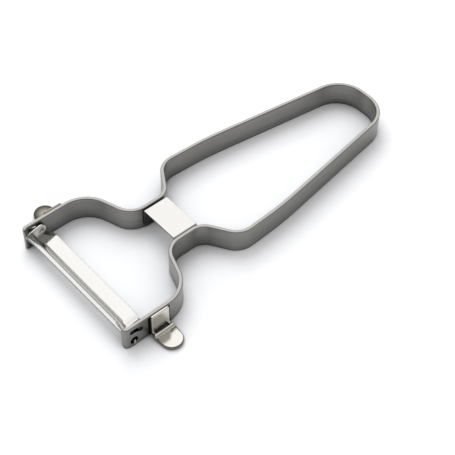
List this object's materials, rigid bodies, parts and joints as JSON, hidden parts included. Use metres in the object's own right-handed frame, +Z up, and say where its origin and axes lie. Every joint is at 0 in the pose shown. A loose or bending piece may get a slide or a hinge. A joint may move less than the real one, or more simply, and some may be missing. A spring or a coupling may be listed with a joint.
{
  "type": "vegetable peeler",
  "caption": "All-metal Y peeler: bent strip with a loop handle, a bridged neck and an open head, a slotted swivelling blade between its arms and a spoon-like eyer on each arm.",
  "frame": {"origin": "on the surface that the peeler lies on, under the middle of its whole length and of its width", "axes": "+X along the handle towards its tail, +Y towards the left arm of the head, +Z up from the surface; the head's front is at -X"},
  "size_m": [0.1438, 0.0818, 0.01],
  "materials": {
    "strip_steel": "satin, brushed along the strip, with bright rolled edges",
    "polished_sheet": "polished",
    "blade_steel": "polished, ground along the slot's two cutting edges"
  },
  "bodies": {
    "frame": {"frame_strip": "strip_steel", "neck_bridge": "polished_sheet", "left_eyer": "polished_sheet", "right_eyer": "polished_sheet"},
    "blade": {"blade": "blade_steel"}
  },
  "joints": [
    {"name": "blade_swing", "type": "hinge", "parent": "frame", "child": "blade", "pos_m": [-0.06825, 0, 0.0029], "axis": [0, -1, 0], "range_deg": [0, 46]}
  ]
}
